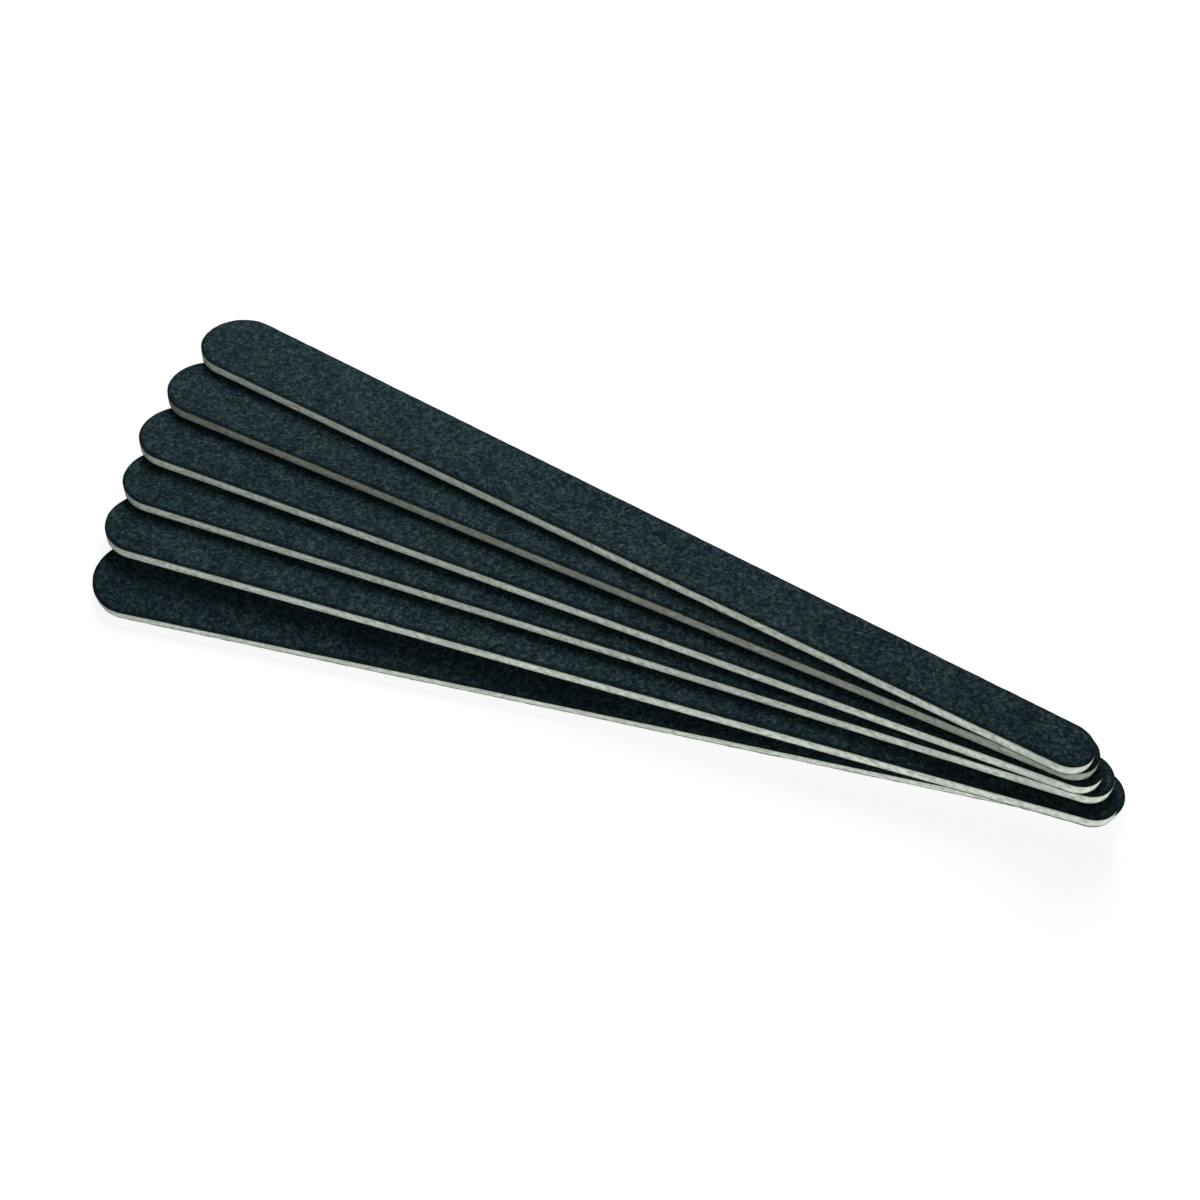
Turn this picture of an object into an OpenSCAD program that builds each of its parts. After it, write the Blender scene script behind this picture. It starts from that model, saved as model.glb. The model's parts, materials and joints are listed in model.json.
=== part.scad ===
// Six emery boards, spread like a hand of cards.
// The lowest board lies flat and the five above it lean on its far top edge,
// as one parallel fan, until the first of their wide ends meets the table.
// X runs along the lowest board to its narrow end, Y to the side that the fan opens to.
// The origin is on the table, under the middle of the lowest board.

/* [Board] */
// length of one board over both rounded ends
board_l = 178; // [120:1:200]
// width across the rounded wide end
wide_w = 15; // [12:0.5:20]
// width across the rounded narrow end
narrow_w = 9; // [7:0.5:12]

/* [Layers] */
// thickness of the pale pulpboard core
core_t = 1.6; // [0.8:0.1:2.4]
// thickness of the glue film on each side of the core
glue_t = 0.05; // [0.03:0.01:0.1]
// thickness of the black backing paper of each grit sheet
paper_t = 0.15; // [0.1:0.01:0.25]
// thickness of the grit and resin coat on each backing paper
grit_t = 0.1; // [0.05:0.01:0.2]

/* [Swing] */
// turn of the second board out from the first, in degrees
swing_2 = 4.55; // [0:0.05:8]
// turn of the third board out from the second, in degrees
swing_3 = 2.35; // [0:0.05:8]
// turn of the fourth board out from the third, in degrees
swing_4 = 3.35; // [0:0.05:8]
// turn of the fifth board out from the fourth, in degrees
swing_5 = 3.65; // [0:0.05:8]
// turn of the sixth board out from the fifth, in degrees
swing_6 = 4.3; // [0:0.05:8]

/* [Narrow ends] */
// how far the second board's narrow end sits back from the first one's
back_2 = 1.9; // [0:0.1:12]
// how far the third board's narrow end sits back from the first one's
back_3 = 3.2; // [0:0.1:12]
// how far the fourth board's narrow end sits back from the first one's
back_4 = 5.5; // [0:0.1:12]
// how far the fifth board's narrow end sits back from the first one's
back_5 = 6.8; // [0:0.1:12]
// how far the sixth board's narrow end sits back from the first one's
back_6 = 8.1; // [0:0.1:12]
// how far the second board's narrow end lies over to the near side of the first one's
over_2 = 3.4; // [-1:0.1:4]
// how far the third board's narrow end lies over to the near side of the first one's
over_3 = 0.8; // [-1:0.1:4]
// how far the fourth board's narrow end lies over to the near side of the first one's
over_4 = 1.1; // [-1:0.1:4]
// how far the fifth board's narrow end lies over to the near side of the first one's
over_5 = 0.5; // [-1:0.1:4]
// how far the sixth board's narrow end lies over to the near side of the first one's
over_6 = 1.3; // [-1:0.1:4]

/* [Fits] */
// air between two grit faces that lie on each other
rest_gap = 0.02; // [0.01:0.01:0.1]

/* [Hidden] */
swings = [0, swing_2, swing_3, swing_4, swing_5, swing_6];
backs = [0, back_2, back_3, back_4, back_5, back_6];
overs = [0, over_2, over_3, over_4, over_5, over_6];
board_count = len(swings);
layers = ["lower_grit", "lower_paper", "lower_glue", "core", "upper_glue", "upper_paper", "upper_grit"];

wide_r = wide_w / 2;
narrow_r = narrow_w / 2;
// The arcs of the round ends are a hair wider than the board, so each one crosses the
// long edges at a slight corner, as a die leaves it.
arc_over = 1.005;
wide_arc_r = wide_r * arc_over;
narrow_arc_r = narrow_r * arc_over;
// how far the taper runs past the ends before the arcs trim it
spare = 1;
// distance between the centres of the two rounded ends
span = board_l - wide_r - narrow_r;
// angle that each long edge makes with the board's own axis
edge_angle = asin((wide_r - narrow_r) / span);
// outward normal of the long edge on the fan's side
edge_normal = [sin(edge_angle), cos(edge_angle)];

sheet_t = glue_t + paper_t + grit_t;
board_t = core_t + 2 * sheet_t;
// height of one board in the stack, with the air under it
pitch = board_t + rest_gap;

// centre of the first board's narrow end, from the middle of that board
narrow_x = board_l / 2 - narrow_r;

function turned(k) = k <= 1 ? 0 : swings[k - 1] + turned(k - 1);
function narrow_centre(k) = [narrow_x - backs[k - 1], -overs[k - 1]];
function along(k, s) = narrow_centre(k) - s * [cos(turned(k)), -sin(turned(k))];
// distance of a point outside the first board's long edge, seen from above before the fan leans
function beyond_edge(p) = edge_normal * (p - [narrow_x, 0]) - narrow_r;
function mean(v) = v * [for (x = v) 1] / len(v);

// The upper boards tip only if their weight is beyond the first board's edge.
tips = mean([for (k = [2 : board_count]) beyond_edge(along(k, span / 2))]) > 0;
// how far board k's wide end reaches beyond the edge, and how high its underside is above the lean plane
function reach(k) = beyond_edge(along(k, span + wide_r - wide_arc_r)) + wide_arc_r;
function rise(k) = (k - 2) * pitch;
function touch_angle(k) = let (s = reach(k), h = rise(k), far = norm([s, h]))
    s > pitch ? atan(h / s) + asin(pitch / far) : 90;
lean = tips ? min([for (k = [2 : board_count]) touch_angle(k)]) : 0;

// a point on the first board's far top edge, and the direction of that edge
edge_point = concat([narrow_x, 0] + narrow_r * edge_normal, pitch);
edge_direction = [cos(edge_angle), -sin(edge_angle), 0];

// half the board's width at x, measured from the centre of the narrow end
function half_width(x) = (narrow_r - x * edge_normal.x) / edge_normal.y;

// The board's outline: a long taper with two round ends.
// Its origin is the centre of the narrow end, and the wide end is towards -X.
module outline() {
    wide_end = -span - wide_r;
    ends = [wide_end - spare, narrow_r + spare];
    intersection() {
        polygon([
            [ends[0], half_width(ends[0])],
            [ends[1], half_width(ends[1])],
            [ends[1], -half_width(ends[1])],
            [ends[0], -half_width(ends[0])]
        ]);
        union() {
            translate([wide_end + wide_arc_r, 0]) circle(r = wide_arc_r);
            translate([narrow_r - narrow_arc_r, 0]) circle(r = narrow_arc_r);
            translate([-span, -wide_w]) square([span, 2 * wide_w]);
        }
    }
}

module layer_plate(from, thickness) {
    translate([0, 0, from]) linear_extrude(height = thickness) outline();
}

// The same sheet is glued to both faces of the core, so the upper one is the lower one turned over.
module on_side(upper) {
    if (upper) translate([0, 0, board_t]) mirror([0, 0, 1]) children();
    else children();
}

module grit(upper) {
    color("#27323A") on_side(upper) layer_plate(0, grit_t);
}

module paper(upper) {
    color("#171B1E") on_side(upper) layer_plate(grit_t, paper_t);
}

module glue(upper) {
    color("#A69C86") on_side(upper) layer_plate(grit_t + paper_t, glue_t);
}

module core() {
    color("#B4AEA0") layer_plate(sheet_t, core_t);
}

module lean_on_edge() {
    translate(edge_point) rotate(a = -lean, v = edge_direction) translate(-edge_point) children();
}

// Puts a board that is drawn at its narrow end's centre in its place in the fan.
module in_fan(k) {
    centre = narrow_centre(k);
    if (k == 1)
        translate([centre.x, centre.y, 0]) children();
    else
        lean_on_edge()
            translate([centre.x, centre.y, (k - 1) * pitch]) rotate([0, 0, -turned(k)]) children();
}

module layer_of(name) {
    if (name == "core") core();
    if (name == "lower_grit") grit(false);
    if (name == "upper_grit") grit(true);
    if (name == "lower_paper") paper(false);
    if (name == "upper_paper") paper(true);
    if (name == "lower_glue") glue(false);
    if (name == "upper_glue") glue(true);
}

for (k = [1 : board_count]) for (layer = layers)
    in_fan(k) layer_of(layer);
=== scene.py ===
"""Looks for a fan of six emery boards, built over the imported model.

Each board is a sandwich: a pulpboard core, and on both of its faces a glue film, a black backing
paper and a coat of grit. Every layer of every board is a piece of its own, made here in mesh code
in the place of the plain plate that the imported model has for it.
"""
import json
import math

import bpy
import numpy as np
from bpy.props import FloatProperty, FloatVectorProperty, IntProperty, PointerProperty
from bpy.types import Operator, Panel, PropertyGroup
from mathutils import Matrix, Vector

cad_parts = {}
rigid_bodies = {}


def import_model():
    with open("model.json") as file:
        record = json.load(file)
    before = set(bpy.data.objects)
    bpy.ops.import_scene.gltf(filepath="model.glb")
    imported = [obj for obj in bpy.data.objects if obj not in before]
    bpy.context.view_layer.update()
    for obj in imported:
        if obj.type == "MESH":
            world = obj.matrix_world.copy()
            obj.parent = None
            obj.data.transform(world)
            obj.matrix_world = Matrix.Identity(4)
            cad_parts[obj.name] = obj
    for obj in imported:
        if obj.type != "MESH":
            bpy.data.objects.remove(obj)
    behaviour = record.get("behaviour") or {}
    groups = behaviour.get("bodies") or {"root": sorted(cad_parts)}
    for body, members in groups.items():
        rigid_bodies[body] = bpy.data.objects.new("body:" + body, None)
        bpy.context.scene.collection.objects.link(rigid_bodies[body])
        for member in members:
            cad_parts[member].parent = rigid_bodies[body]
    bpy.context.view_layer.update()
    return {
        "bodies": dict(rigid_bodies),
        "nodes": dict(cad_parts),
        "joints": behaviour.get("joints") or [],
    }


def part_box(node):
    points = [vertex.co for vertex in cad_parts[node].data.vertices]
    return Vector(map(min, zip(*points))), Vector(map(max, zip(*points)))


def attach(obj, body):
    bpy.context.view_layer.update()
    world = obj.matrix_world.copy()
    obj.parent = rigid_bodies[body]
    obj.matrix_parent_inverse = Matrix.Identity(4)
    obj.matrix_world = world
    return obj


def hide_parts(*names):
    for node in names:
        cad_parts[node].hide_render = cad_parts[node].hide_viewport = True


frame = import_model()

bl_info = {
    "name": "Emery board fan",
    "version": (1, 0, 0),
    "blender": (4, 5, 0),
    "location": "3D View > Sidebar > Emery boards",
    "description": "Grit, paper, glue and pulpboard for a fan of emery boards, and a studio for it",
    "category": "Object",
}

MM = 0.001
WHITE = (1.0, 1.0, 1.0, 1.0)
BOARDS = sorted(frame["bodies"])
# Rings of a grit coat, as shares of the way from the rim to the middle line. The first ones lie
# close together, where the coat rolls over, and the rest are even from there on.
RIM_RINGS = [0, 0.008, 0.02, 0.035]
FIRST_EVEN_RING = 0.055
# Tone, from 0 to 1, of the resin where no grain covers it
RESIN_TONE = 0.3
# How far in from the rim the coat rolls over, and how far in painted shade darkens it
ROLLED_RIM_WIDTH = 0.8 * MM


def linear(hex_colour):
    """An sRGB hex colour as the linear RGBA that Blender mixes light with."""
    channels = [int(hex_colour[i:i + 2], 16) / 255 for i in (1, 3, 5)]
    return [c / 12.92 if c < 0.04045 else ((c + 0.055) / 1.055) ** 2.4 for c in channels] + [1.0]


def add_node(tree, kind, inputs=None, stops=None, **settings):
    """Adds one shader node with its settings. Each input is a value or another node's output."""
    node = tree.nodes.new("ShaderNode" + kind)
    for name, value in settings.items():
        setattr(node, name, value)
    for name, value in (inputs or {}).items():
        if isinstance(value, bpy.types.NodeSocket):
            tree.links.new(value, node.inputs[name])
        else:
            node.inputs[name].default_value = value
    for position, colour in stops or []:
        element = node.color_ramp.elements.new(position)
        element.color = colour
    if stops:
        node.color_ramp.elements.remove(node.color_ramp.elements[0])
        node.color_ramp.elements.remove(node.color_ramp.elements[-1])
    return node


def new_material(name):
    """An empty node material, with its output node."""
    material = bpy.data.materials.new(name)
    material.use_nodes = True
    material.node_tree.nodes.clear()
    return material, add_node(material.node_tree, "OutputMaterial")


def per_metre(millimetres):
    """The scale of a pattern in object coordinates whose cells have this real size."""
    return 1 / (millimetres * MM)


# The board's outline and its place


class Outline:
    """The board's rim seen from above, drawn round from the narrow tip.

    Its origin is the centre of the narrow end, and the wide end is towards -X. Each point of the
    rim has a foot on the middle line, a radius out from that foot, and an outward direction.
    """

    def __init__(self, length, wide, narrow, step):
        wide_r, narrow_r = wide / 2, narrow / 2
        self.span = length - wide_r - narrow_r
        taper = math.asin((wide_r - narrow_r) / self.span)
        side = math.pi / 2 - taper
        tip = np.linspace(0, side, max(6, round(narrow_r * side / step)), endpoint=False)
        heel_turn = 2 * (math.pi - side)
        heel = side + np.linspace(0, heel_turn, round(wide_r * heel_turn / step))[1:-1]
        along = np.linspace(0, 1, round(self.span / step))
        angles = [tip, np.full(len(along), side), heel, np.full(len(along), -side), -tip[:0:-1]]
        shares = [0 * tip, along, 0 * heel + 1, along[::-1], 0 * tip[1:]]
        angle, share = np.concatenate(angles), np.concatenate(shares)
        self.out = np.stack([np.cos(angle), np.sin(angle)], 1)
        self.foot = np.stack([-self.span * share, 0 * share], 1)
        self.radius = narrow_r + (wide_r - narrow_r) * share
        rim = self.at(0)
        gaps = np.linalg.norm(np.roll(rim, -1, 0) - rim, axis=1)
        self.walked = np.concatenate([[0], np.cumsum(gaps)])

    def __len__(self):
        return len(self.radius)

    def at(self, inset, share=0):
        """Points at a distance in from the rim, and then at a share of the rest of the way."""
        return self.foot + ((self.radius - inset) * (1 - share))[:, None] * self.out


def board_outline(step):
    """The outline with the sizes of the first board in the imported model."""
    low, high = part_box(BOARDS[0] + "_core")
    mesh = frame["nodes"][BOARDS[0] + "_core"].data
    tip = max(abs(vertex.co.y) for vertex in mesh.vertices if vertex.co.x > 0)
    return Outline(high.x - low.x, high.y - low.y, 2 * tip, step)


def board_places(outline):
    """For each board, the matrix from its outline's own frame to its place in the fan."""
    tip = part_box(BOARDS[0] + "_core")[1].x - outline.radius[0]
    places = {BOARDS[0]: Matrix.Translation((tip, 0, 0))}
    turned = 0
    for joint in frame["joints"]:
        turned += math.radians(max(joint["range_deg"]))
        lean = Vector((0, 0, 1)).rotation_difference(Vector(joint["axis"])).to_matrix().to_4x4()
        turn = Matrix.Rotation(-turned, 4, "Z")
        places[joint["child"]] = Matrix.Translation(joint["pos_m"]) @ lean @ turn
    return places


def layer_place(layer):
    """The layer's thickness, and the matrix from a layer that lies face up on z = 0 to its place."""
    low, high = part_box(BOARDS[0] + "_" + layer)
    if layer.startswith("lower"):
        return high.z - low.z, Matrix.Translation((0, 0, high.z)) @ Matrix.Rotation(math.pi, 4, "X")
    return high.z - low.z, Matrix.Translation((0, 0, low.z))


# Meshes


def closed_mesh(name, outline, rings):
    """A closed mesh through rings of points round the board.

    The first ring lies on the middle line of the underside and the last on that of the top, so
    their two long sides share their points. Each corner keeps how far round the rim it is. With
    the mesh comes a function that brings values for the rings into the order of its points.
    """
    count, around = rings.shape[:2]
    feet = np.unique(outline.foot[:, 0].round(9), return_index=True, return_inverse=True)
    first, shared = feet[1], feet[2].reshape(-1)
    middle = rings[1:-1].reshape(-1, 3)
    points = np.concatenate([rings[0][first], middle, rings[-1][first]])
    number = np.empty((count, around + 1), int)
    number[0, :-1] = shared
    number[1:-1, :-1] = len(first) + np.arange(len(middle)).reshape(count - 2, around)
    number[-1, :-1] = len(first) + len(middle) + shared
    number[:, -1] = number[:, 0]
    corners = np.stack([number[:-1, :-1], number[:-1, 1:], number[1:, 1:], number[1:, :-1]], 2)
    corners = corners.reshape(-1, 4)
    column = np.tile(np.arange(around), count - 1)[:, None] + np.array([0, 1, 1, 0])
    row = np.repeat(np.arange(count - 1), around)[:, None] + np.array([0, 0, 1, 1])
    kept = np.ones(corners.shape, bool)
    kept[corners[:, 0] == corners[:, 1], 1] = False
    kept[corners[:, 2] == corners[:, 3], 3] = False
    corner_counts = kept.sum(1)
    corner_total = int(corner_counts.sum())

    mesh = bpy.data.meshes.new(name)
    mesh.vertices.add(len(points))
    mesh.vertices.foreach_set("co", points.astype(np.float32).ravel())
    mesh.loops.add(corner_total)
    mesh.loops.foreach_set("vertex_index", corners[kept].astype(np.int32))
    mesh.polygons.add(len(corner_counts))
    starts = np.cumsum(corner_counts) - corner_counts
    mesh.polygons.foreach_set("loop_start", starts.astype(np.int32))
    mesh.update(calc_edges=True)
    mesh.shade_smooth()
    heights = rings[..., 2]
    unrolled = np.zeros((corner_total, 3), np.float32)
    unrolled[:, 0] = outline.walked[column[kept]]
    unrolled[:, 1] = heights[row[kept], column[kept] % around]
    edge = mesh.attributes.new("round_the_rim", "FLOAT_VECTOR", "CORNER")
    edge.data.foreach_set("vector", unrolled.ravel())

    def in_order(values):
        return np.concatenate([values[0][first], values[1:-1].ravel(), values[-1][first]])

    return mesh, in_order


def keep_on_points(mesh, name, values):
    """Stores one number for each point of a mesh, for its material to read."""
    layer = mesh.attributes.new(name, "FLOAT", "POINT")
    layer.data.foreach_set("value", values.astype(np.float32))


def wander(rng, count, reach):
    """A closed line of smooth random numbers from 0 to 1, which change over that many points."""
    kernel = np.hanning(2 * reach + 1)
    noise = np.fft.irfft(
        np.fft.rfft(rng.normal(size=count)) * np.fft.rfft(kernel, count), count
    )
    # What lies more than 2.5 deviations from the mean is cut off.
    cut_off = 2.5 * noise.std()
    return ((noise - noise.mean()) / cut_off * 0.5 + 0.5).clip(0, 1)


def crushed_grains(points, pitch, rng):
    """Angular grains scattered in resin: height from 0 to 1, and a random tone for each grain.

    One grain sits at random in each cell of a grid. It has a tilted flat top and steep flanks,
    and where two meet, the higher one shows. Lengths are in cells of the grid.
    """
    flank_slope = 3.5
    sine_of_60 = 0.87
    spots = points / pitch
    cells = np.floor(spots).astype(int)
    start = cells.min(0) - 1
    size = tuple(cells.max(0) - start + 2)
    centres = rng.uniform(0.1, 0.9, size + (2,))
    tops = rng.uniform(0.45, 1.0, size)
    radii = rng.uniform(0.3, 0.62, size)
    turns = rng.uniform(0, math.pi, size)
    tilts = rng.normal(0, 0.45, size + (2,))
    tones = rng.uniform(0, 1, size)
    height = np.zeros(len(points))
    tone = np.full(len(points), RESIN_TONE)
    for step in np.ndindex(3, 3):
        cell = tuple((cells - start + np.array(step) - 1).T)
        away = spots - np.stack(cell, 1) - start - centres[cell]
        turn = turns[cell]
        along = away[:, 0] * np.cos(turn) + away[:, 1] * np.sin(turn)
        across = away[:, 1] * np.cos(turn) - away[:, 0] * np.sin(turn)
        six_sided = np.maximum(abs(along), abs(along) / 2 + abs(across) * sine_of_60)
        flank = flank_slope * np.maximum(0, six_sided - radii[cell])
        top = tops[cell] + (tilts[cell] * away).sum(1) - flank
        higher = top > height
        height[higher] = top[higher]
        tone[higher] = tones[cell][higher]
    return height.clip(0, 1), tone


def add_piece(name, mesh, board, layer, place, material):
    """Puts a finished layer in its place in the fan, on its board, instead of the plain plate."""
    mesh.transform(place)
    mesh.materials.append(material)
    piece = bpy.data.objects.new(name, mesh)
    bpy.context.scene.collection.objects.link(piece)
    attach(piece, board)
    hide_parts(board + "_" + layer)


def grit_mesh(name, outline, thickness, torn, sizes, rng):
    """One coat of grit and resin, face up: grains on top and a ragged die-cut rim."""
    count = len(outline)
    ragged = torn + 0.6 * sizes.rim_wander * wander(rng, count, 3)
    even_rings = np.linspace(FIRST_EVEN_RING, 1, sizes.grit_rings)
    shares = np.concatenate([RIM_RINGS, even_rings])
    top = np.stack([outline.at(ragged, share) for share in shares])

    # From the last rim ring inwards, the points are shaken by up to a third of a step, so that the
    # facets don't line up with the rim.
    shaken_by = 0.32
    first_loose = len(RIM_RINGS) - 1
    loose = slice(first_loose, -1)
    round_step = (np.roll(top, -1, 1) - np.roll(top, 1, 1))[loose] / 2
    inward_step = top[first_loose + 1:] - top[loose]
    shake = rng.uniform(-shaken_by, shaken_by, (2,) + round_step.shape[:2] + (1,))
    top[loose] += shake[0] * round_step + shake[1] * inward_step

    from_rim = np.multiply.outer(shares, outline.radius - ragged)
    height, tone = crushed_grains(top.reshape(-1, 2), sizes.grain_pitch, rng)
    height = height.reshape(from_rim.shape)
    tone = tone.reshape(from_rim.shape)
    roll = sizes.rim_roll * (1 - from_rim / sizes.rim_roll_width).clip(0, 1) ** 2
    thinnest = thickness * 0.2
    z = np.maximum(thinnest, thickness - sizes.grain_relief * (1 - height) - roll)
    upper = np.concatenate([top, z[..., None]], 2)

    wall = outline.at(ragged + 0.3 * sizes.rim_wander * wander(rng, count, 2))
    rim = np.concatenate([wall, np.zeros((count, 1))], 1)
    under = np.concatenate([outline.foot, np.zeros((count, 1))], 1)
    rings = np.concatenate([under[None], rim[None], upper])
    mesh, in_order = closed_mesh(name, outline, rings)

    flat = np.zeros((2, count))
    keep_on_points(mesh, "grain_tone", in_order(np.concatenate([flat + RESIN_TONE, tone])))
    keep_on_points(mesh, "grain_height", in_order(np.concatenate([flat, height])))
    keep_on_points(mesh, "from_rim", in_order(np.concatenate([flat, from_rim])))
    return mesh


def band_mesh(name, outline, thickness, depths):
    """A thin sheet whose cut edge goes in from the rim by depths, one line of them for each row."""
    count = len(outline)
    rows = [np.concatenate([outline.foot, np.zeros((count, 1))], 1)]
    for height, depth in zip(np.linspace(0, thickness, len(depths)), depths):
        rows.append(np.concatenate([outline.at(depth), np.full((count, 1), height)], 1))
    rows.append(np.concatenate([outline.foot, np.full((count, 1), thickness)], 1))
    return closed_mesh(name, outline, np.stack(rows))[0]


def core_mesh(name, outline, thickness, sizes, rng):
    """The pulpboard core. Its die-cut edge shows the plies, torn fibres and small pits."""
    count = len(outline)
    rows = sizes.core_rows
    depths = np.zeros((rows, count))
    ply = thickness / sizes.core_plies
    seam_width = 0.06 * MM
    for row in range(rows):
        height = thickness * row / (rows - 1)
        seam = math.exp(-(((height / ply + 0.5) % 1 - 0.5) * ply / seam_width) ** 2)
        fibres = wander(rng, count, 5) * 0.6 + wander(rng, count, 14) * 0.4
        # Only the top 0.18 of this wander makes a pit.
        pits = np.maximum(0, wander(rng, count, 2) - 0.82) / 0.18
        depths[row] = sizes.fibre_relief * (0.45 * fibres + 0.5 * pits)
        depths[row] += sizes.fibre_relief * 0.35 * seam * wander(rng, count, 20)
    # The die goes in from above: it rounds the upper corner and tears the lower one.
    sharpness = 6
    upper = np.linspace(0, 1, rows)[:, None] ** sharpness
    lower = np.linspace(1, 0, rows)[:, None] ** sharpness
    depths += sizes.fibre_relief * (0.5 * upper + 0.6 * lower * wander(rng, count, 8))
    return band_mesh(name, outline, thickness, depths)


# Materials


def grit_material(colours):
    """Silicon carbide grit, scattered on wet resin and cured under a second coat of resin.

    To the eye it is a matt blue-green black, mottled from grain to grain: the tilted facets
    catch more or less light, a few glint, and between them the resin is nearly black. Part of
    this light is painted: each grain's random tone is coloured from a painted shade, for facets
    turned away, up to a painted glint for the brightest.
    """
    material, output = new_material("silicon_carbide_grit_in_resin")
    tree = material.node_tree
    place = add_node(tree, "TexCoord").outputs["Object"]
    tone = add_node(tree, "Attribute", attribute_name="grain_tone").outputs["Fac"]
    height = add_node(tree, "Attribute", attribute_name="grain_height").outputs["Fac"]
    from_rim = add_node(tree, "Attribute", attribute_name="from_rim").outputs["Fac"]

    # Real grains of this grit are about 0.15 mm. The mesh has them three times as coarse, so that
    # they show, and the chips in between them are drawn at 0.3 mm.
    chips = add_node(tree, "TexVoronoi", {"Vector": place, "Scale": per_metre(0.3)})
    chip = add_node(tree, "SeparateColor", {"Color": chips.outputs["Color"]})
    # The coat is spread unevenly, in clouds of some 5 mm.
    clouds = add_node(
        tree, "TexNoise", {"Vector": place, "Scale": per_metre(5), "Detail": 3.0}
    )
    with_chip = add_node(
        tree, "Math", {0: chip.outputs["Red"], 1: 0.35}, operation="MULTIPLY"
    )
    with_cloud = add_node(
        tree, "Math", {0: clouds.outputs["Fac"], 1: 0.3, 2: with_chip.outputs[0]},
        operation="MULTIPLY_ADD",
    )
    mottle = add_node(
        tree, "Math", {0: tone, 1: 0.4, 2: with_cloud.outputs[0]}, operation="MULTIPLY_ADD"
    )
    # The ramp paints light into each grain's random tone: its dark end is painted shade of facets
    # turned away, and its top end is a painted glint.
    grain = add_node(
        tree, "ValToRGB", {"Fac": mottle.outputs[0]},
        stops=[
            (0.28, colours.grain_dark),
            (0.5, colours.grain),
            (0.72, colours.grain_light),
            (0.86, colours.grain_painted_glint),
        ],
    )
    # Where the resin is thicker it is bluer, and where the grains lie closer it is greener, in
    # spots of some 2.5 mm.
    drift = add_node(
        tree, "TexNoise", {"Vector": place, "Scale": per_metre(2.5), "Detail": 2.0}
    )
    cast = add_node(
        tree, "ValToRGB", {"Fac": drift.outputs["Fac"]},
        stops=[(0.36, colours.blue_cast), (0.5, colours.no_cast), (0.64, colours.green_cast)],
    )
    tinted = add_node(
        tree, "Mix", {0: 1.0, 6: grain.outputs["Color"], 7: cast.outputs["Color"]},
        data_type="RGBA", blend_type="MULTIPLY",
    )
    deep = add_node(
        tree, "MapRange",
        {"Value": height, "From Min": 0.0, "From Max": 0.55, "To Min": 0.0, "To Max": 1.0},
    )
    bonded = add_node(
        tree, "Mix", {0: deep.outputs[0], 6: colours.resin, 7: tinted.outputs[2]},
        data_type="RGBA",
    )
    # In some four of ten spots, 0.6 mm apart, a grain has broken out and left a dark pit.
    pits = add_node(tree, "TexVoronoi", {"Vector": place, "Scale": per_metre(0.6)})
    pit = add_node(tree, "SeparateColor", {"Color": pits.outputs["Color"]})
    hollow = add_node(
        tree, "MapRange",
        {"Value": pits.outputs["Distance"], "From Min": 0.2, "From Max": 0.42, "To Min": 0.85,
         "To Max": 0.0},
    )
    broken_out = add_node(
        tree, "Math", {0: pit.outputs["Red"], 1: 0.62}, operation="GREATER_THAN"
    )
    in_pit = add_node(
        tree, "Math", {0: hollow.outputs[0], 1: broken_out.outputs[0]}, operation="MULTIPLY"
    )
    pitted = add_node(
        tree, "Mix", {0: in_pit.outputs[0], 6: bonded.outputs[2], 7: colours.resin},
        data_type="RGBA",
    )
    # Painted shade on the rolled-over rim: most of the outer millimetre is darkened towards the
    # resin colour.
    rim_painted_shade = add_node(
        tree, "MapRange",
        {"Value": from_rim, "From Min": 0.0, "From Max": ROLLED_RIM_WIDTH, "To Min": 0.85,
         "To Max": 0.0},
    )
    coat = add_node(
        tree, "Mix", {0: rim_painted_shade.outputs[0], 6: pitted.outputs[2], 7: colours.resin},
        data_type="RGBA",
    )
    gloss = add_node(
        tree, "MapRange", {"Value": tone, "To Min": 0.85, "To Max": 0.6}
    )
    # Sharp corners of the chips, at their real size of a tenth of a millimetre.
    crumbs = add_node(
        tree, "TexNoise", {"Vector": place, "Scale": per_metre(0.1), "Detail": 2.0}
    )
    corners = add_node(
        tree, "Math", {0: crumbs.outputs["Fac"], 1: chips.outputs["Distance"]},
        operation="SUBTRACT",
    )
    # The mesh rolls over at the rim by most of the coat's thickness, and can't go deeper. The
    # whole board gives way there, so this carries the roll on.
    shoulder = add_node(
        tree, "MapRange",
        {"Value": from_rim, "From Min": 0.0, "From Max": ROLLED_RIM_WIDTH},
        interpolation_type="SMOOTHERSTEP",
    )
    rolled = add_node(
        tree, "Bump", {"Height": shoulder.outputs[0], "Strength": 1.0, "Distance": 0.16 * MM}
    )
    bump = add_node(
        tree, "Bump",
        {
            "Height": corners.outputs[0],
            "Strength": 0.35,
            "Distance": 0.04 * MM,
            "Normal": rolled.outputs[0],
        },
    )
    shader = add_node(
        tree, "BsdfPrincipled",
        {
            "Base Color": coat.outputs[2],
            "Roughness": gloss.outputs[0],
            "IOR": 1.5,
            "Specular IOR Level": 0.03,
            "Specular Tint": colours.sheen,
            "Normal": bump.outputs[0],
        },
    )
    tree.links.new(shader.outputs[0], output.inputs["Surface"])
    return material


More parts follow.
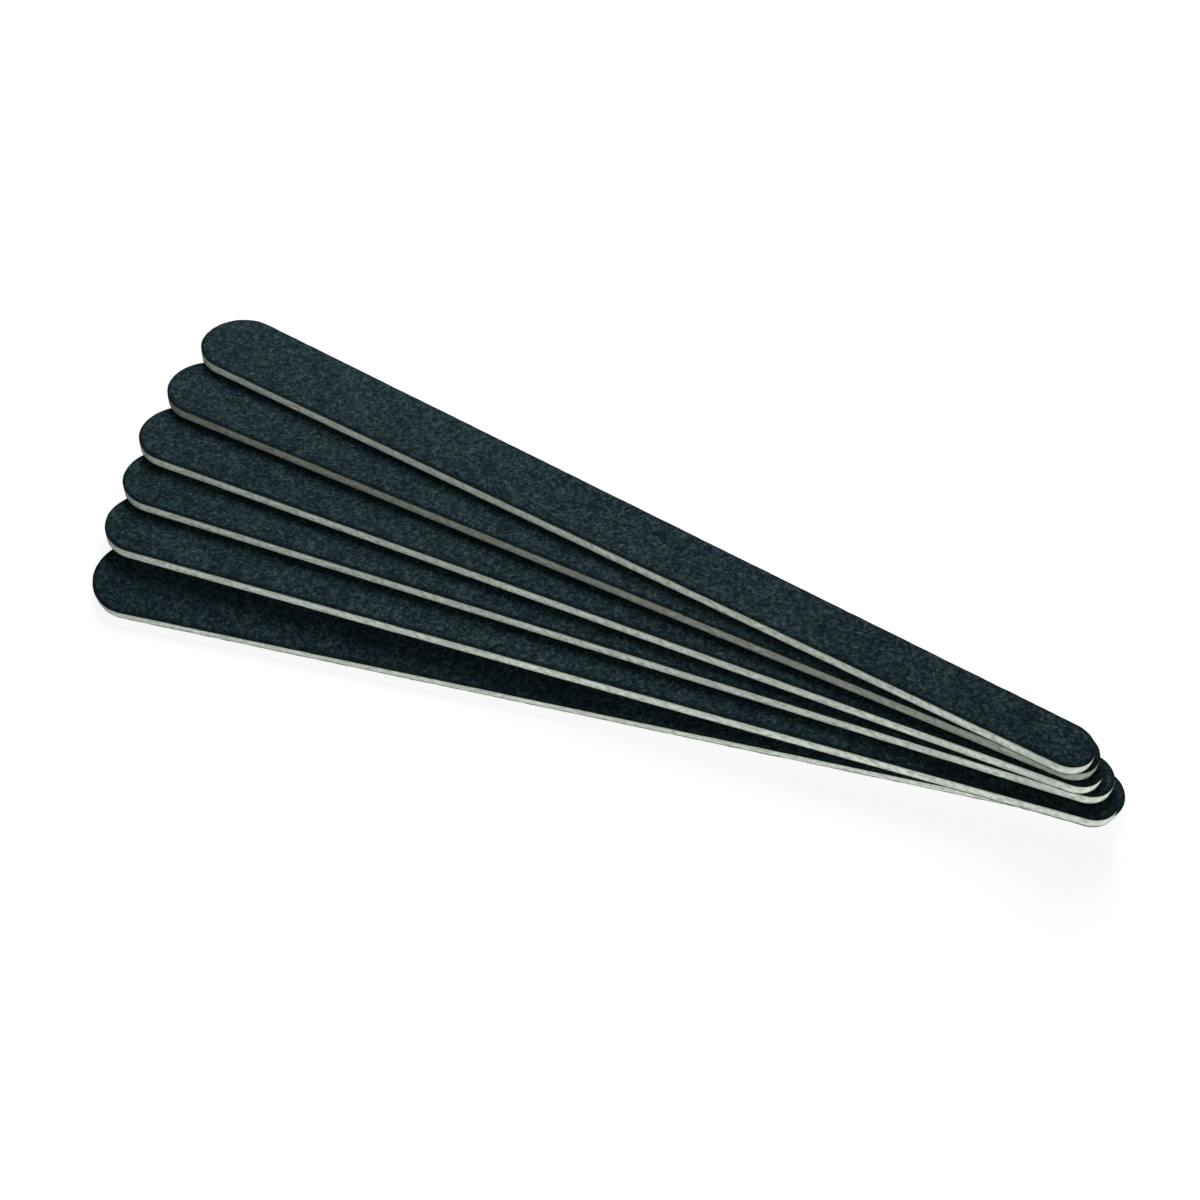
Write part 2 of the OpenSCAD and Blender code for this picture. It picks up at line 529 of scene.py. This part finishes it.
def paper_material(colours):
    """Black dyed kraft paper, rolled. Its cut edge is a matt, slightly fibrous black line."""
    material, output = new_material("black_kraft_backing_paper")
    tree = material.node_tree
    place = add_node(tree, "TexCoord").outputs["Object"]
    # Kraft fibres are 0.03 mm thick and 3 mm long. They are drawn 0.12 mm thick, to show.
    fibres = add_node(
        tree, "TexNoise", {"Vector": place, "Scale": per_metre(0.12), "Detail": 3.0}
    )
    colour = add_node(
        tree, "ValToRGB", {"Fac": fibres.outputs["Fac"]},
        stops=[(0.35, colours.resin), (0.6, colours.paper), (0.75, colours.paper_fibre)],
    )
    bump = add_node(
        tree, "Bump",
        {"Height": fibres.outputs["Fac"], "Strength": 0.6, "Distance": 0.03 * MM},
    )
    shader = add_node(
        tree, "BsdfPrincipled",
        {
            "Base Color": colour.outputs["Color"],
            "Roughness": 0.85,
            "IOR": 1.5,
            "Specular IOR Level": 0.06,
            "Normal": bump.outputs[0],
        },
    )
    tree.links.new(shader.outputs[0], output.inputs["Surface"])
    return material


def glue_material(colours):
    """Animal glue, rolled on thin and squeezed out in places. A dull amber line with soft gloss."""
    material, output = new_material("rolled_hide_glue_film")
    tree = material.node_tree
    place = add_node(tree, "TexCoord").outputs["Object"]
    # The glue gathers in beads of about 0.6 mm.
    beads = add_node(
        tree, "TexNoise", {"Vector": place, "Scale": per_metre(0.6), "Detail": 2.0}
    )
    colour = add_node(
        tree, "ValToRGB", {"Fac": beads.outputs["Fac"]},
        stops=[(0.35, colours.glue_dark), (0.65, colours.glue)],
    )
    bump = add_node(
        tree, "Bump",
        {"Height": beads.outputs["Fac"], "Strength": 0.4, "Distance": 0.03 * MM},
    )
    shader = add_node(
        tree, "BsdfPrincipled",
        {
            "Base Color": colour.outputs["Color"],
            "Roughness": 0.45,
            "IOR": 1.52,
            "Normal": bump.outputs[0],
        },
    )
    tree.links.new(shader.outputs[0], output.inputs["Surface"])
    return material


def pulpboard_material(colours, thickness, grey):
    """Grey-white pulpboard, pressed in plies and die-cut.

    The cut edge is pale and matt, with fibres and ply lines that run along it, some darker
    flecks of recycled paper, and here and there a patch that the die has burnished greyer.
    """
    material, output = new_material("die_cut_pulpboard" + ("_grey" if grey else ""))
    tree = material.node_tree
    edge = add_node(tree, "Attribute", attribute_name="round_the_rim").outputs["Vector"]
    place = add_node(tree, "TexCoord").outputs["Object"]
    # Fibres are 0.03 mm thick. They are drawn 0.12 mm thick and 1.6 mm long, to show.
    laid = add_node(
        tree, "Mapping",
        {"Vector": edge, "Scale": (per_metre(1.6), per_metre(0.12), 1.0)},
    )
    fibres = add_node(
        tree, "TexNoise", {"Vector": laid.outputs[0], "Scale": 1.0, "Detail": 3.0}
    )
    # Flecks are up to half a millimetre, and burnished patches are nearly a centimetre.
    flecks = add_node(
        tree, "TexVoronoi", {"Vector": place, "Scale": per_metre(0.45)}
    )
    fleck = add_node(tree, "SeparateColor", {"Color": flecks.outputs["Color"]})
    patches = add_node(
        tree, "TexNoise", {"Vector": place, "Scale": per_metre(9), "Detail": 2.0}
    )
    body = add_node(
        tree, "ValToRGB", {"Fac": fibres.outputs["Fac"]},
        stops=[(0.28, colours.pulp_dark), (0.5, colours.pulp), (0.72, colours.pulp_light)],
    )
    # Fibres clump together as the pulp dries: clumps of a millimetre, some of them yellower.
    pressed = add_node(
        tree, "Mapping",
        {"Vector": edge, "Scale": (per_metre(1.1), per_metre(0.7), 1.0)},
    )
    clumps = add_node(
        tree, "TexNoise", {"Vector": pressed.outputs[0], "Scale": 1.0, "Detail": 2.0}
    )
    clump = add_node(
        tree, "ValToRGB", {"Fac": clumps.outputs["Fac"]},
        stops=[
            (0.36, colours.clump_dark),
            (0.46, colours.clump_yellow),
            (0.54, colours.clump_plain),
            (0.64, colours.clump_light),
        ],
    )
    clumped = add_node(
        tree, "Mix", {0: 1.0, 6: body.outputs["Color"], 7: clump.outputs["Color"]},
        data_type="RGBA", blend_type="MULTIPLY",
    )
    worn = add_node(
        tree, "MapRange",
        {"Value": patches.outputs["Fac"], "From Min": 0.45, "From Max": 0.75, "To Max": 0.6},
    )
    burnished = add_node(
        tree, "Mix", {0: worn.outputs[0], 6: clumped.outputs[2], 7: colours.pulp_dark},
        data_type="RGBA",
    )
    is_fleck = add_node(
        tree, "MapRange",
        {"Value": fleck.outputs["Red"], "From Min": 0.86, "From Max": 0.98, "To Max": 0.5},
    )
    flecked = add_node(
        tree, "Mix", {0: is_fleck.outputs[0], 6: burnished.outputs[2], 7: colours.pulp_fleck},
        data_type="RGBA",
    )
    # Glue has soaked a little way in from both faces, and darkens the board there.
    height = add_node(tree, "SeparateXYZ", {"Vector": edge}).outputs["Y"]
    middle = add_node(
        tree, "Math", {0: height, 1: thickness / 2, 2: thickness / 2}, operation="PINGPONG"
    )
    soaked = add_node(
        tree, "MapRange",
        {"Value": middle.outputs[0], "From Min": 0.0, "From Max": 0.5 * MM, "To Min": 0.55,
         "To Max": 0.0},
    )
    colour = add_node(
        tree, "Mix", {0: soaked.outputs[0], 6: flecked.outputs[2], 7: colours.pulp_soaked},
        data_type="RGBA",
    )
    base = colour.outputs[2]
    if grey:
        base = add_node(
            tree, "Mix", {0: 1.0, 6: base, 7: colours.greyer_core_tint},
            data_type="RGBA", blend_type="MULTIPLY",
        ).outputs[2]
    bump = add_node(
        tree, "Bump",
        {"Height": fibres.outputs["Fac"], "Strength": 0.6, "Distance": 0.05 * MM},
    )
    shader = add_node(
        tree, "BsdfPrincipled",
        {
            "Base Color": base,
            "Roughness": 0.9,
            "IOR": 1.45,
            "Specular IOR Level": 0.3,
            "Normal": bump.outputs[0],
        },
    )
    tree.links.new(shader.outputs[0], output.inputs["Surface"])
    return material


def seen_or_mirrored(tree):
    """1 for what the camera sees, straight or in a reflection, and 0 for what only lights."""
    path = add_node(tree, "LightPath")
    seen = add_node(
        tree, "Math", {0: path.outputs["Is Camera Ray"], 1: path.outputs["Is Glossy Ray"]},
        operation="MAXIMUM",
    )
    return add_node(
        tree, "Math", {0: seen.outputs[0], 1: path.outputs["Is Transmission Ray"]},
        operation="MAXIMUM",
    ).outputs[0]


def floor_material(studio):
    """Matt white table paper. The camera sees it white, and it keeps a light shadow."""
    material, output = new_material("matt_white_table_paper")
    tree = material.node_tree
    # Far out, where the lamps don't reach, it is plain white.
    place = add_node(tree, "TexCoord").outputs["Object"]
    away = add_node(tree, "VectorMath", {0: place}, operation="LENGTH").outputs["Value"]
    far = add_node(tree, "MapRange", {"Value": away, "From Min": 0.15, "From Max": 0.45})
    tint = add_node(
        tree, "Mix", {0: far.outputs[0], 6: studio.floor_glow, 7: WHITE},
        data_type="RGBA",
    )
    paper = add_node(tree, "BsdfDiffuse", {"Color": studio.floor})
    shade = add_node(tree, "BsdfDiffuse", {"Color": studio.floor_shade})
    glow = add_node(tree, "Emission", {"Color": tint.outputs[2], "Strength": 1.0})
    white = add_node(tree, "AddShader", {0: shade.outputs[0], 1: glow.outputs[0]})
    surface = add_node(
        tree, "MixShader",
        {0: seen_or_mirrored(tree), 1: paper.outputs[0], 2: white.outputs[0]},
    )
    tree.links.new(surface.outputs[0], output.inputs["Surface"])
    return material


# Settings


class EmeryBoardSizes(PropertyGroup):
    """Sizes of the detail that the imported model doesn't have."""

    mesh_step: FloatProperty(
        name="Mesh step", description="Distance between the points round the rim",
        default=0.25 * MM, min=0.1 * MM, max=1 * MM, unit="LENGTH", precision=5,
    )
    grit_rings: IntProperty(
        name="Grit rings", description="Rings of points from the rim to the middle line",
        default=30, min=8, max=60,
    )
    core_rows: IntProperty(
        name="Core rows", description="Rows of points over the core's cut edge",
        default=14, min=4, max=40,
    )
    core_plies: IntProperty(
        name="Core plies", description="Sheets that the pulpboard is pressed from",
        default=4, min=1, max=8,
    )
    grain_pitch: FloatProperty(
        name="Grain pitch", description="Distance between neighbouring grains",
        default=0.5 * MM, min=0.1 * MM, max=2 * MM, unit="LENGTH", precision=5,
    )
    grain_relief: FloatProperty(
        name="Grain relief", description="Depth from the highest grain down to the resin",
        default=0.05 * MM, min=0.0, max=0.08 * MM, unit="LENGTH", precision=5,
    )
    rim_roll: FloatProperty(
        name="Rim roll", description="How far the die presses the rim down",
        default=0.075 * MM, min=0.0, max=0.08 * MM, unit="LENGTH", precision=5,
    )
    rim_roll_width: FloatProperty(
        name="Rim roll width", description="How far in from the rim it is pressed down",
        default=0.55 * MM, min=0.05 * MM, max=2 * MM, unit="LENGTH", precision=5,
    )
    rim_wander: FloatProperty(
        name="Rim wander", description="How far the ragged rim falls short of the outline",
        default=0.09 * MM, min=0.0, max=0.3 * MM, unit="LENGTH", precision=5,
    )
    fibre_relief: FloatProperty(
        name="Fibre relief", description="Depth of the torn fibres in the core's cut edge",
        default=0.09 * MM, min=0.0, max=0.3 * MM, unit="LENGTH", precision=5,
    )


def colour_property(name, description, hex_colour):
    """A colour setting whose default is given as sRGB hex."""
    return FloatVectorProperty(
        name=name, description=description, subtype="COLOR", size=4, min=0.0, max=1.0,
        default=linear(hex_colour),
    )


class EmeryBoardColours(PropertyGroup):
    """Colours of the layers."""

    resin: colour_property("Resin", "Nearly black resin between the grains", "#0A1316")
    # Dark grain is painted shade of grains turned away, light grain is random tone with some painted
    # highlight, and glint is a painted glint of the brightest facets.
    grain_dark: colour_property("Dark grain", "Grains that face away", "#0A1A1E")
    grain: colour_property("Grain", "Most of the grains", "#1E2D32")
    grain_light: colour_property("Light grain", "Grains with a clean facet", "#304044")
    grain_painted_glint: colour_property("Glint", "The few brightest facets", "#405055")
    blue_cast: colour_property("Blue cast", "Cast of the bluer grains", "#DCE0F2")
    green_cast: colour_property("Green cast", "Cast of the greener grains", "#E4EEE2")
    no_cast: colour_property("No cast", "The other grains", "#E6E7E9")
    sheen: colour_property("Sheen", "Blue-green sheen of silicon carbide", "#DEFBFF")
    paper: colour_property("Backing paper", "Black kraft paper", "#14181A")
    paper_fibre: colour_property("Paper fibre", "Paler fibres at its cut edge", "#2A2F30")
    glue: colour_property("Glue", "Thin glue", "#A89D86")
    glue_dark: colour_property("Dark glue", "Glue in thicker beads", "#6F654F")
    pulp: colour_property("Pulpboard", "Most of the cut edge", "#D0DBD4")
    pulp_light: colour_property("Light pulpboard", "Loose pale fibres", "#E4ECE6")
    pulp_dark: colour_property("Dark pulpboard", "Ply lines and burnished patches", "#A3ADA6")
    clump_dark: colour_property("Dark clump", "Tint of the densest pulp", "#BDC0BC")
    clump_yellow: colour_property("Yellow clump", "Tint of the yellower pulp", "#E6E7D8")
    clump_plain: colour_property("Plain clump", "Tint of the other pulp", "#EEF0F0")
    clump_light: colour_property("Light clump", "Tint of the loosest pulp", "#FFFFFF")
    pulp_soaked: colour_property("Soaked pulpboard", "Where glue has soaked in", "#8F948A")
    pulp_fleck: colour_property("Fleck", "Flecks of recycled paper", "#8C9186")
    # Tint that makes the second board's core greyer and darker than the others.
    greyer_core_tint: colour_property("Greyer core", "Tint of the board with a greyer core", "#B6B6B4")


class EmeryBoardStudio(PropertyGroup):
    """Floor, lights and camera."""

    floor: colour_property("Floor", "Table paper, as it lights the boards", "#E6E6E6")
    floor_shade: colour_property("Floor shade", "What the shadow takes off the floor", "#808080")
    floor_glow: colour_property("Floor glow", "Brightness of the floor in full shadow", "#EFEFEF")
    sky: FloatProperty(
        name="Sky", description="Strength of the even light from all round",
        default=0.05, min=0.0, max=2.0,
    )
    key_power: FloatProperty(
        name="Key light", description="Power of the soft light behind and to the left",
        default=2.8, min=0.0, max=100.0, unit="POWER",
    )
    fill_power: FloatProperty(
        name="Fill light", description="Power of the low soft light in front",
        default=3.8, min=0.0, max=100.0, unit="POWER",
    )
    key_place: FloatVectorProperty(
        name="Key light place", description="Where the soft light behind stands",
        default=(-0.07, 0.38, 0.265), subtype="XYZ", unit="LENGTH",
    )
    fill_place: FloatVectorProperty(
        name="Fill light place", description="Where the soft light in front stands",
        default=(0.35, -0.5, 0.12), subtype="XYZ", unit="LENGTH",
    )
    lamp_size: FloatProperty(
        name="Lamp size", description="Diameter of both soft lights",
        default=0.3, min=0.01, max=2.0, unit="LENGTH",
    )
    camera_place: FloatVectorProperty(
        name="Camera place", description="Where the camera stands",
        default=(0.030866, -0.114737, 0.234479), subtype="XYZ", unit="LENGTH",
    )
    camera_direction: FloatVectorProperty(
        name="Camera direction", description="Where the camera looks",
        default=(-0.122286, 0.484432, -0.86624), subtype="DIRECTION",
    )
    camera_lens: FloatProperty(
        name="Lens", description="Focal length in millimetres on a sensor 36 mm wide",
        default=46.63, min=10.0, max=300.0,
    )


class EmeryBoardSettings(PropertyGroup):
    """All settings of the fan."""

    sizes: PointerProperty(type=EmeryBoardSizes, name="Sizes", description="Sizes of the detail")
    colours: PointerProperty(type=EmeryBoardColours, name="Colours", description="Layer colours")
    studio: PointerProperty(type=EmeryBoardStudio, name="Studio", description="Floor and lights")


# Operators


def seeded(board, layer):
    """The random numbers of one layer of one board, alike in every run."""
    return np.random.default_rng([BOARDS.index(board), *layer.encode()])


def torn_rim(board, layer, outline, sizes):
    """How far a grit coat and the paper under it fall short of the outline, both alike."""
    return sizes.rim_wander * wander(seeded(board, layer.split("_")[0]), len(outline), 7)


class EMERY_OT_grit(Operator):
    """Lay a coat of silicon carbide grit on both faces of each board"""

    bl_idname = "emery.grit"
    bl_label = "Grit coats"

    def execute(self, context):
        settings = context.scene.emery_boards
        outline = board_outline(settings.sizes.mesh_step)
        places = board_places(outline)
        material = grit_material(settings.colours)
        for board in BOARDS:
            for layer in ("lower_grit", "upper_grit"):
                thickness, place = layer_place(layer)
                name = board + "_" + layer + "_coat"
                rng = seeded(board, layer)
                torn = torn_rim(board, layer, outline, settings.sizes)
                mesh = grit_mesh(name, outline, thickness, torn, settings.sizes, rng)
                place = places[board] @ place
                add_piece(name, mesh, board, layer, place, material)
        return {"FINISHED"}


class EMERY_OT_paper(Operator):
    """Cut the black backing paper under each coat of grit"""

    bl_idname = "emery.paper"
    bl_label = "Backing papers"

    def execute(self, context):
        settings = context.scene.emery_boards
        sizes = settings.sizes
        outline = board_outline(sizes.mesh_step)
        places = board_places(outline)
        material = paper_material(settings.colours)
        for board in BOARDS:
            for layer in ("lower_paper", "upper_paper"):
                thickness, place = layer_place(layer)
                name = board + "_" + layer + "_sheet"
                rng = seeded(board, layer)
                count = len(outline)
                rows = 4
                fuzz = [wander(rng, count, 2) + wander(rng, count, 9) for row in range(rows)]
                torn = torn_rim(board, layer, outline, sizes)
                depths = torn + 0.3 * sizes.rim_wander * np.stack(fuzz)
                mesh = band_mesh(name, outline, thickness, depths)
                place = places[board] @ place
                add_piece(name, mesh, board, layer, place, material)
        return {"FINISHED"}


class EMERY_OT_glue(Operator):
    """Roll a thin film of glue on both faces of each core"""

    bl_idname = "emery.glue"
    bl_label = "Glue films"

    def execute(self, context):
        settings = context.scene.emery_boards
        sizes = settings.sizes
        outline = board_outline(sizes.mesh_step)
        places = board_places(outline)
        material = glue_material(settings.colours)
        for board in BOARDS:
            for layer in ("lower_glue", "upper_glue"):
                thickness, place = layer_place(layer)
                name = board + "_" + layer + "_line"
                rng = seeded(board, layer)
                count = len(outline)
                # The film stops short of the rim, and a bead of it stands out in places.
                short = 1.2 - wander(rng, count, 6)
                bulge = np.array([1.0, 0.7, 1.0])[:, None]
                mesh = band_mesh(name, outline, thickness, sizes.rim_wander * bulge * short)
                place = places[board] @ place
                add_piece(name, mesh, board, layer, place, material)
        return {"FINISHED"}


class EMERY_OT_core(Operator):
    """Press and die-cut the pulpboard core of each board"""

    bl_idname = "emery.core"
    bl_label = "Pulpboard cores"

    def execute(self, context):
        settings = context.scene.emery_boards
        outline = board_outline(settings.sizes.mesh_step)
        places = board_places(outline)
        thickness, core_place = layer_place("core")
        pale = pulpboard_material(settings.colours, thickness, False)
        grey = pulpboard_material(settings.colours, thickness, True)
        for board in BOARDS:
            name = board + "_core_pulpboard"
            rng = seeded(board, "core")
            mesh = core_mesh(name, outline, thickness, settings.sizes, rng)
            # The second board from the top gets a greyer core colour than the others.
            material = grey if board == BOARDS[-2] else pale
            place = places[board] @ core_place
            add_piece(name, mesh, board, "core", place, material)
        return {"FINISHED"}


class EMERY_OT_studio(Operator):
    """Set up the floor, the lights and the camera"""

    bl_idname = "emery.studio"
    bl_label = "Studio"

    def execute(self, context):
        scene = context.scene
        studio = scene.emery_boards.studio
        # Half the floor's side, in metres: it reaches far past the boards.
        half = 2.0
        # A hair below the boards, so that the lowest grit doesn't share a plane with it.
        level = -0.02 * MM
        mesh = bpy.data.meshes.new("floor")
        mesh.from_pydata(
            [(-half, -half, level), (half, -half, level), (half, half, level), (-half, half, level)],
            [], [(0, 1, 2, 3)],
        )
        mesh.materials.append(floor_material(studio))
        floor = bpy.data.objects.new("floor", mesh)
        scene.collection.objects.link(floor)

        lights = (
            ("key_light", studio.key_place, studio.key_power),
            ("fill_light", studio.fill_place, studio.fill_power),
        )
        for name, place, power in lights:
            lamp = bpy.data.lights.new(name, "AREA")
            lamp.shape = "DISK"
            lamp.size = studio.lamp_size
            lamp.energy = power
            light = bpy.data.objects.new(name, lamp)
            light.location = place
            light.rotation_euler = (-Vector(place)).to_track_quat("-Z", "Y").to_euler()
            light.visible_camera = False
            scene.collection.objects.link(light)

        world = bpy.data.worlds.new("studio")
        world.use_nodes = True
        tree = world.node_tree
        tree.nodes.clear()
        even = add_node(tree, "Background", {"Color": WHITE, "Strength": studio.sky})
        white = add_node(tree, "Background", {"Color": WHITE, "Strength": 1.0})
        shown = add_node(
            tree, "MixShader",
            {0: seen_or_mirrored(tree), 1: even.outputs[0], 2: white.outputs[0]},
        )
        output = add_node(tree, "OutputWorld")
        tree.links.new(shown.outputs[0], output.inputs["Surface"])
        scene.world = world

        camera = bpy.data.cameras.new("camera")
        camera.sensor_width = 36.0
        camera.lens = studio.camera_lens
        camera.clip_start = 10 * MM
        camera_object = bpy.data.objects.new("camera", camera)
        camera_object.location = studio.camera_place
        direction = Vector(studio.camera_direction)
        camera_object.rotation_euler = direction.to_track_quat("-Z", "Y").to_euler()
        scene.collection.objects.link(camera_object)
        scene.camera = camera_object
        scene.view_settings.view_transform = "Standard"
        return {"FINISHED"}


class EMERY_PT_panel(Panel):
    """Lists the pieces of the fan and their settings"""

    bl_idname = "EMERY_PT_panel"
    bl_label = "Emery boards"
    bl_space_type = "VIEW_3D"
    bl_region_type = "UI"
    bl_category = "Emery boards"

    def draw(self, context):
        column = self.layout.column()
        for operator in OPERATORS:
            column.operator(operator.bl_idname)
        settings = context.scene.emery_boards
        for group in (settings.sizes, settings.colours, settings.studio):
            box = self.layout.box()
            for name in group.bl_rna.properties.keys():
                if name not in ("rna_type", "name"):
                    box.prop(group, name)


OPERATORS = (EMERY_OT_core, EMERY_OT_glue, EMERY_OT_paper, EMERY_OT_grit, EMERY_OT_studio)
GROUPS = (EmeryBoardSizes, EmeryBoardColours, EmeryBoardStudio, EmeryBoardSettings)


def register():
    for item in GROUPS + OPERATORS + (EMERY_PT_panel,):
        bpy.utils.register_class(item)
    bpy.types.Scene.emery_boards = PointerProperty(type=EmeryBoardSettings)


def unregister():
    del bpy.types.Scene.emery_boards
    for item in reversed(GROUPS + OPERATORS + (EMERY_PT_panel,)):
        bpy.utils.unregister_class(item)


def main():
    """Builds the whole scene."""
    register()
    bpy.ops.emery.core()
    bpy.ops.emery.glue()
    bpy.ops.emery.paper()
    bpy.ops.emery.grit()
    bpy.ops.emery.studio()
    bpy.context.view_layer.update()


if __name__ == "__main__":
    main()
